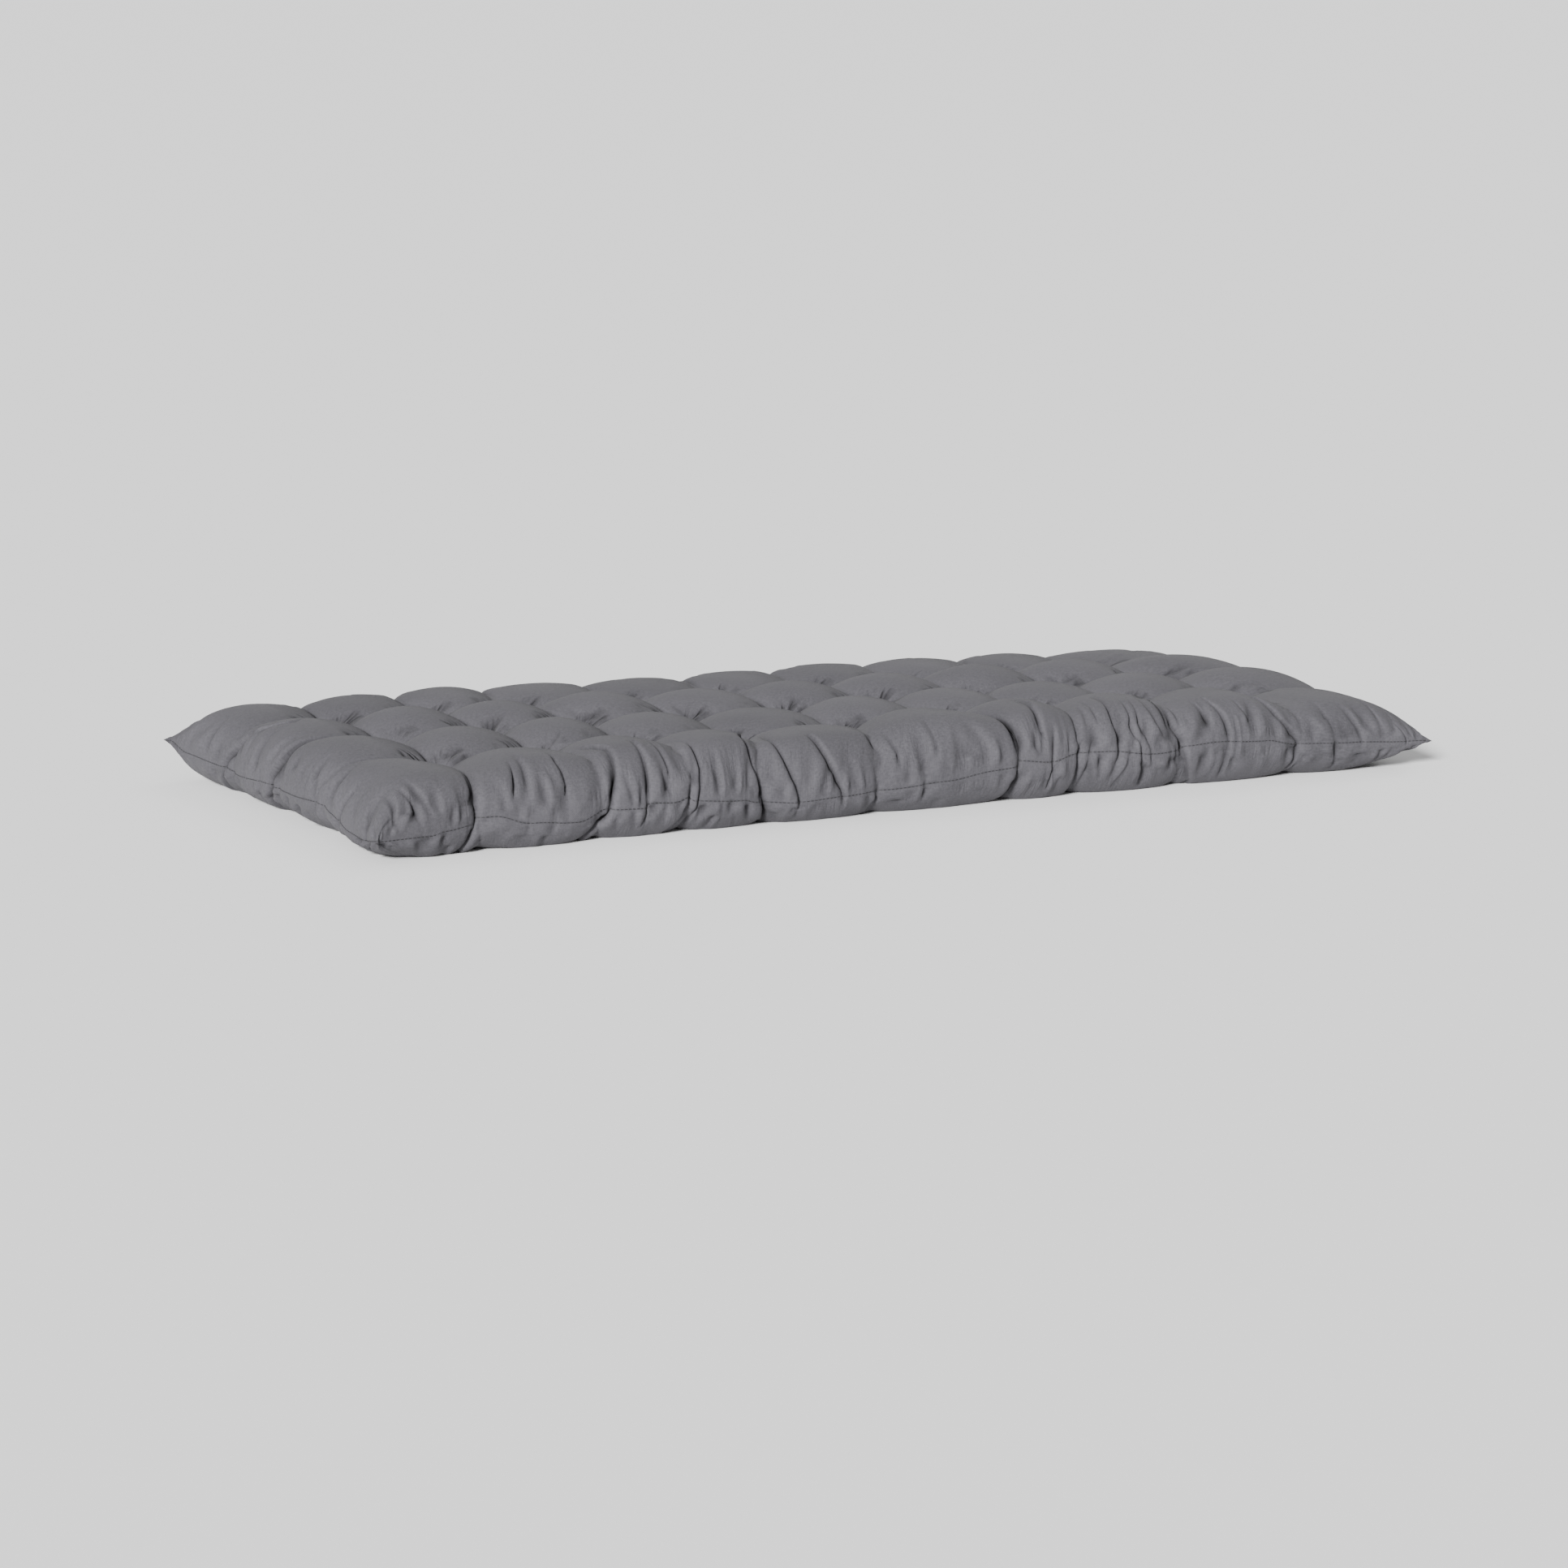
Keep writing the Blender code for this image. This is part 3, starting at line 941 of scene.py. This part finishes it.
# How far every fold, gather and tuft sinks each point of the cloth, and how far they draw it along X and Y.
def pleatCloth(flat, side, madeSides, random):
    sunk = np.zeros(len(flat))
    shifts = np.zeros((3, len(flat)))
    rims = fromRims(flat)
    for made, axis, isFar in madeSides:
        rest, distance = restLines()[axis], fromSide(flat, axis, isFar)
        sinkFolds(made, flat[:, axis], distance, side, sunk, shifts[axis])
        span = rest[-1] - rest[0] - gathers["cornerSpace"]
        weight = eased(rims[axis], gathers["cornerFade"])
        sinkGathers(side, flat[:, axis], distance, span, weight, random, sunk)
    restX, restY = restLines()
    for tuftX in restX[2:-2]:
        for tuftY in restY[2:-2]:
            for panel in (1, -1):
                sinkTuft(flat, side, panel, (tuftX, tuftY), random, sunk, shifts)
    groove = cover["groove"] * np.exp(-rims.min(axis=0) / cover["grooveWidth"])
    return sunk + groove * eased(rims.max(axis=0), cover["grooveFade"]), shifts.T


def makeCover():
    settled = settleCloth()
    cloth, home, side = cutPanels()
    random = np.random.default_rng(folds["seed"])
    madeSides = [(makeFolds(*entry), *entry[1:]) for entry in cushionSides(random)]
    flat = bendMesh(home, side, madeSides)
    cloth.data.uv_layers[0].name = "cloth"
    corners = read(cloth.data.loops, "vertex_index", kind=int)
    cloth.data.uv_layers[0].data.foreach_set("uv", flat[corners, :2].ravel())
    places = layCloth(flat, side) + movement(settled, flat, side)
    setPlaces(cloth.data, places)
    normals = read(cloth.data.vertices, "normal", 3)
    sunk, shifts = pleatCloth(flat, side, madeSides, random)
    giveAttributes(cloth.data, flat, sunk)
    places = places - normals * sunk[:, None] + shifts
    places[:, 2] = np.maximum(places[:, 2], 0)
    setPlaces(cloth.data, places)
    bpy.ops.object.shade_smooth()
    return cloth


# The seam's stitches

stitching = {
    "pitch": 0.0042,
    "length": 0.0025,
    "thread": 0.00042,  # radius
    "sides": 6,
}


# Lifts the seam's line off the cover as a curve, and lays a stitch along it at every pitch.
def makeStitches(cloth):
    selectOnly(cloth)
    fromSeam = read(cloth.data.attributes["from_seam"].data, "value", kind=np.float32)
    ends = read(cloth.data.edges, "vertices", 2, int)
    selectEdges(cloth.data, (fromSeam[ends] < grid["weld"]).all(axis=1))
    bpy.ops.object.mode_set(mode="EDIT")
    bpy.ops.mesh.duplicate()
    bpy.ops.mesh.separate(type="SELECTED")
    bpy.ops.object.mode_set(mode="OBJECT")
    selectOnly(next(thing for thing in bpy.context.selected_objects if thing is not cloth))
    bpy.ops.object.convert(target="CURVE")
    line = bpy.context.object
    length = line.data.splines[0].calc_length()
    count = round(length / stitching["pitch"])
    selectNothing()
    bpy.ops.mesh.primitive_cylinder_add(vertices=stitching["sides"], radius=stitching["thread"],
                                        depth=stitching["length"])
    stitches = bpy.context.object
    stitches.name = "seam_stitches"
    bpy.ops.object.mode_set(mode="EDIT")
    bpy.ops.mesh.select_all(action="SELECT")
    bpy.ops.transform.rotate(value=math.pi / 2, orient_axis="Y", center_override=(0, 0, 0))
    bpy.ops.object.mode_set(mode="OBJECT")
    repeat = stitches.modifiers.new("repeat", "ARRAY")
    repeat.count = count
    repeat.use_relative_offset = False
    repeat.use_constant_offset = True
    repeat.constant_offset_displace = (length / count, 0, 0)
    follow = stitches.modifiers.new("follow", "CURVE")
    follow.object = line
    follow.deform_axis = "POS_X"
    bpy.ops.object.modifier_apply(modifier="repeat")
    bpy.ops.object.modifier_apply(modifier="follow")
    bpy.data.objects.remove(line)
    return stitches


# Shader maths

class Shade:
    def __init__(self, name):
        self.material = bpy.data.materials.new(name)
        self.material.use_nodes = True
        self.tree = self.material.node_tree
        self.shader = self.tree.nodes["Principled BSDF"]

    def node(self, kind, settings=None, **sockets):
        made = self.tree.nodes.new("ShaderNode" + kind)
        for name, value in (settings or {}).items():
            setattr(made, name, value)
        for name, value in sockets.items():
            key = int(name[1:]) if name[1:].isdigit() else name.replace("_", " ")
            self.feed(made.inputs[key], value)
        return made

    def feed(self, socket, value):
        if isinstance(value, Value):
            self.tree.links.new(value.socket, socket)
        elif isinstance(value, bpy.types.NodeSocket):
            self.tree.links.new(value, socket)
        else:
            socket.default_value = value

    def value(self, socket):
        return Value(self, socket)

    def vector(self, operation, **sockets):
        return self.node("VectorMath", {"operation": operation}, **sockets).outputs[0]

    def attribute(self, name):
        return self.value(self.node("Attribute", {"attribute_name": name}).outputs["Fac"])

    def colour(self, share, low, high):  # a mix node's colour sockets are 6 and 7, and 2 comes out
        return self.node("Mix", {"data_type": "RGBA"}, Factor=share, _6=low, _7=high).outputs[2]


class Value:
    def __init__(self, shade, socket):
        self.shade, self.socket = shade, socket

    def maths(self, operation, other=0.0, clamp=False):
        settings = {"operation": operation, "use_clamp": clamp}
        return Value(self.shade, self.shade.node("Math", settings, _0=self, _1=other).outputs[0])

    def __add__(self, other):
        return self.maths("ADD", other)

    def __mul__(self, other):
        return self.maths("MULTIPLY", other)

    def __sub__(self, other):
        return self.maths("SUBTRACT", other)

    def __rsub__(self, other):
        return self * -1 + other

    def __pow__(self, other):
        return self.maths("POWER", other)

    __radd__ = __add__
    __rmul__ = __mul__

    def sine(self):
        return self.maths("SINE")

    def size(self):
        return self.maths("ABSOLUTE")

    def clamped(self):
        return self.maths("ADD", 0.0, clamp=True)


# Fabric

fabric = {
    "colour": (0.050, 0.0485, 0.0540, 1.0),
    "paler": (0.086, 0.0830, 0.0920, 1.0),
    "paintedShade": (0.003, 0.0029, 0.0032, 1.0),  # painted shade in folds and other sunk places, along the seam and in the tuft creases; also the darker end of the thread's colour
    # the stitches' thread, darker than the cloth, partly as painted shade of the stitch holes
    "thread": (0.024, 0.023, 0.026, 1.0),
    "roughness": 0.72,
    "roughnessVaries": 0.25,
    "threads": 1700.0,  # to the metre
    "weaveDepth": 0.00016,
    "grainSize": 380.0,
    "grainDetail": 3.0,
    "slubSize": 210.0,
    "slubStretch": 9.0,
    "cloudSize": 9.0,
    "tones": (1.1, 0.9, 0.8, 0.10),  # how much grain, slubs, clouds and weave show in the colour
    "heights": (1.2, 0.9, 0.5),  # how much grain, slubs and weave stand out
    "deepest": 0.008,  # a fold or other sunk place this deep gets the darkest painted shade
    "deepCurve": 1.4,
    # painted shade along the seam's groove: how far it reaches and how dark it is
    "seamShade": 0.0011,
    "seamDark": 0.15,
    "patchEdge": 5.0,  # how sharply creases come and go
    "creases": 120.0,  # fine creases to the metre
    "creaseStretch": 0.13,
    "creaseThinness": 6.0,
    "creasePatches": (28.0, 0.45),  # how close together, and how much of the cloth has none
    "creaseDepth": 0.0008,
    "creaseStrength": 0.8,
    "creaseReach": 0.110,
    "creaseStart": 160.0,  # how soon they start past the seam
    "rays": 2.7,  # how closely the creases around a tuft follow each other
    "rayThinness": 8.0,
    "rayBend": 9.0,  # on their way out
    "rayOffset": 1.7,  # makes those of each tuft different
    "rayPatches": (34.0, 0.38),
    "rayDepth": 0.0035,
    # how dark the painted shade in the creases around a tuft is
    "rayDark": 0.60,
    "rayReach": 0.030,
    "channelReach": 0.026,  # and those along a channel are this much longer
    "rayFade": 45.0,
    "rayStart": (140.0, 0.3),  # how soon they start, and how far from the tuft
    "creasedAround": 0.046,  # no crease of one tuft runs on into the next one's share of the cloth
    "creasedFade": 0.008,
    "sheen": 0.04,
    "sheenRoughness": 0.45,
    "specular": 0.10,
    "twist": 1500.0,  # unevenness of the thread, to the metre
    "threadRoughness": 0.7,
}


# What the material reads from the cover's mesh.
def giveAttributes(mesh, flat, sunk):
    (column, row), away = nearestTufts(flat)
    # how far each point is sunk, which the material turns into painted shade
    addAttribute(mesh, "sunk", np.clip(sunk / fabric["deepest"], 0, 1))
    addAttribute(mesh, "from_seam", fromRims(flat).min(axis=0))
    addAttribute(mesh, "from_tuft", np.column_stack((*away, np.zeros(len(flat)))), "FLOAT_VECTOR")
    addAttribute(mesh, "tuft_number", column * len(rows) + row)
    inside = fabric["creasedAround"] - np.abs(away).max(axis=0)
    addAttribute(mesh, "by_tuft", np.clip(inside / fabric["creasedFade"], 0, 1))


# The material of the cover, on its own map of the flat cloth in metres.
class Cloth(Shade):
    def __init__(self, name):
        super().__init__(name)
        self.map = self.node("UVMap", {"uv_map": "cloth"}).outputs["UV"]
        parts = self.node("SeparateXYZ", Vector=self.map)
        self.along, self.across = (self.value(parts.outputs[axis]) for axis in "XY")

    def noise(self, scale, stretch=(1, 1, 1), detail=2.0):
        place = self.vector("MULTIPLY", _0=self.map, _1=stretch)
        made = self.node("TexNoise", Vector=place, Scale=scale, Detail=detail)
        return self.value(made.outputs["Fac"])

    def patches(self, scale, least):
        return ((self.noise(scale) - least) * fabric["patchEdge"]).clamped()

    # Thin creases that run in from the seam and fade out.
    def fineCreases(self, stretch, toSeam):
        lines = (self.noise(fabric["creases"], stretch) - 0.5).size()
        thin = (1 - lines * fabric["creaseThinness"]).clamped()
        near = (1 - toSeam * (1 / fabric["creaseReach"])).clamped()
        near = near * (toSeam * fabric["creaseStart"]).clamped()
        return thin * self.patches(*fabric["creasePatches"]) * near

    def seamCreases(self):
        restX, restY = restLines()
        toSides = restY[-1] - self.across.size()
        toEnds = (restX[-1] - restX[0]) / 2 - (self.along - (restX[0] + restX[-1]) / 2).size()
        stretch = fabric["creaseStretch"]
        return self.fineCreases((1, stretch, 1), toSides) + self.fineCreases((stretch, 1, 1), toEnds)

    # Creases that run out from each tuft on all sides, for their bump and for their painted shade.
    def tuftCreases(self):
        fromTuft = self.node("Attribute", {"attribute_name": "from_tuft"}).outputs["Vector"]
        measured = self.node("VectorMath", {"operation": "LENGTH"}, _0=fromTuft)
        away = self.value(measured.outputs["Value"])
        heading = self.vector("NORMALIZE", _0=fromTuft)
        number = self.attribute("tuft_number") * fabric["rayOffset"] + away * fabric["rayBend"]
        shift = self.node("CombineXYZ", Z=number).outputs[0]
        spot = self.vector("ADD", _0=self.vector("SCALE", _0=heading, Scale=fabric["rays"]), _1=shift)
        noise = self.value(self.node("TexNoise", Vector=spot, Scale=1.0, Detail=1.0).outputs["Fac"])
        thin = (1 - (noise - 0.5).size() * fabric["rayThinness"]).clamped()
        alongX = self.value(self.node("SeparateXYZ", Vector=heading).outputs["X"])
        reach = fabric["rayReach"] + alongX * alongX * fabric["channelReach"]
        near = ((reach - away) * fabric["rayFade"]).clamped()
        scale, inner = fabric["rayStart"]
        past = (away * scale - inner).clamped()
        return thin * near * past * self.patches(*fabric["rayPatches"]) * self.attribute("by_tuft")

    def bump(self, height, distance, strength=1.0, under=None):
        made = self.node("Bump", Height=height, Distance=distance, Strength=strength)
        if under is not None:
            self.feed(made.inputs["Normal"], under)
        return made.outputs["Normal"]


# A fine plain weave with uneven threads, with painted shade in its folds, along its seam and in its tuft
# creases, and with fine creases at the seam and the tufts.
def clothMaterial():
    cloth = Cloth("grey_fabric")
    turns = math.pi * fabric["threads"]
    weave = (cloth.along * turns).sine() * (cloth.across * turns).sine()
    grain = cloth.noise(fabric["grainSize"], detail=fabric["grainDetail"])
    size, stretch = fabric["slubSize"], fabric["slubStretch"]
    slubs = cloth.noise(size, (1, stretch, 1)) + cloth.noise(size, (stretch, 1, 1))
    clouds = cloth.noise(fabric["cloudSize"])
    tones = fabric["tones"]
    tone = (grain - 0.5) * tones[0] + (slubs - 1.0) * tones[1]
    tone = tone + (clouds - 0.5) * tones[2] + weave * tones[3] + 0.5
    # Painted shade: the colour goes darker the deeper the cloth is sunk, along the seam and in the creases
    # around each tuft.
    deep = cloth.attribute("sunk") ** fabric["deepCurve"]
    nearSeam = (1 - cloth.attribute("from_seam") * (1 / fabric["seamShade"])).clamped()
    rays = cloth.tuftCreases()
    plain = cloth.colour(tone.clamped(), fabric["colour"], fabric["paler"])
    shaded = cloth.colour((deep + nearSeam * fabric["seamDark"]).clamped(), plain, fabric["paintedShade"])
    # painted shade in the creases around each tuft
    creased = cloth.colour(rays * fabric["rayDark"], shaded, fabric["paintedShade"])
    heights = fabric["heights"]
    height = grain * heights[0] + slubs * heights[1] + weave * heights[2]
    normal = cloth.bump(height, fabric["weaveDepth"])
    normal = cloth.bump(rays * -1, fabric["rayDepth"], under=normal)
    normal = cloth.bump(cloth.seamCreases() * -1, fabric["creaseDepth"], fabric["creaseStrength"], normal)
    roughness = fabric["roughness"] + (grain - 0.5) * fabric["roughnessVaries"]
    for name, value in (
        ("Base Color", creased),
        ("Roughness", roughness),
        ("Normal", normal),
        ("Sheen Weight", fabric["sheen"]),
        ("Sheen Roughness", fabric["sheenRoughness"]),
        ("Specular IOR Level", fabric["specular"]),
    ):
        cloth.feed(cloth.shader.inputs[name], value)
    return cloth.material


# The stitches' thread: its own grey, taken darker towards the painted shade colour, so that the stitches
# also stand for the shade in their holes.
def threadMaterial():
    shade = Shade("grey_thread")
    place = shade.node("TexCoord").outputs["Object"]
    uneven = shade.node("TexNoise", Vector=place, Scale=fabric["twist"]).outputs["Fac"]
    shade.feed(shade.shader.inputs["Base Color"], shade.colour(uneven, fabric["paintedShade"], fabric["thread"]))
    shade.shader.inputs["Roughness"].default_value = fabric["threadRoughness"]
    return shade.material


makeCamera()
makeStage()
print("camera, floor and lights are set")
cushionCover = makeCover()
cushionCover.data.materials.append(clothMaterial())
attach(cushionCover, "root")
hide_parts("cushion")
print("cover is laid:", len(cushionCover.data.polygons), "faces")
stitches = makeStitches(cushionCover)
stitches.data.materials.append(threadMaterial())
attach(stitches, "root")
print("seam is stitched:", len(stitches.data.polygons), "faces")
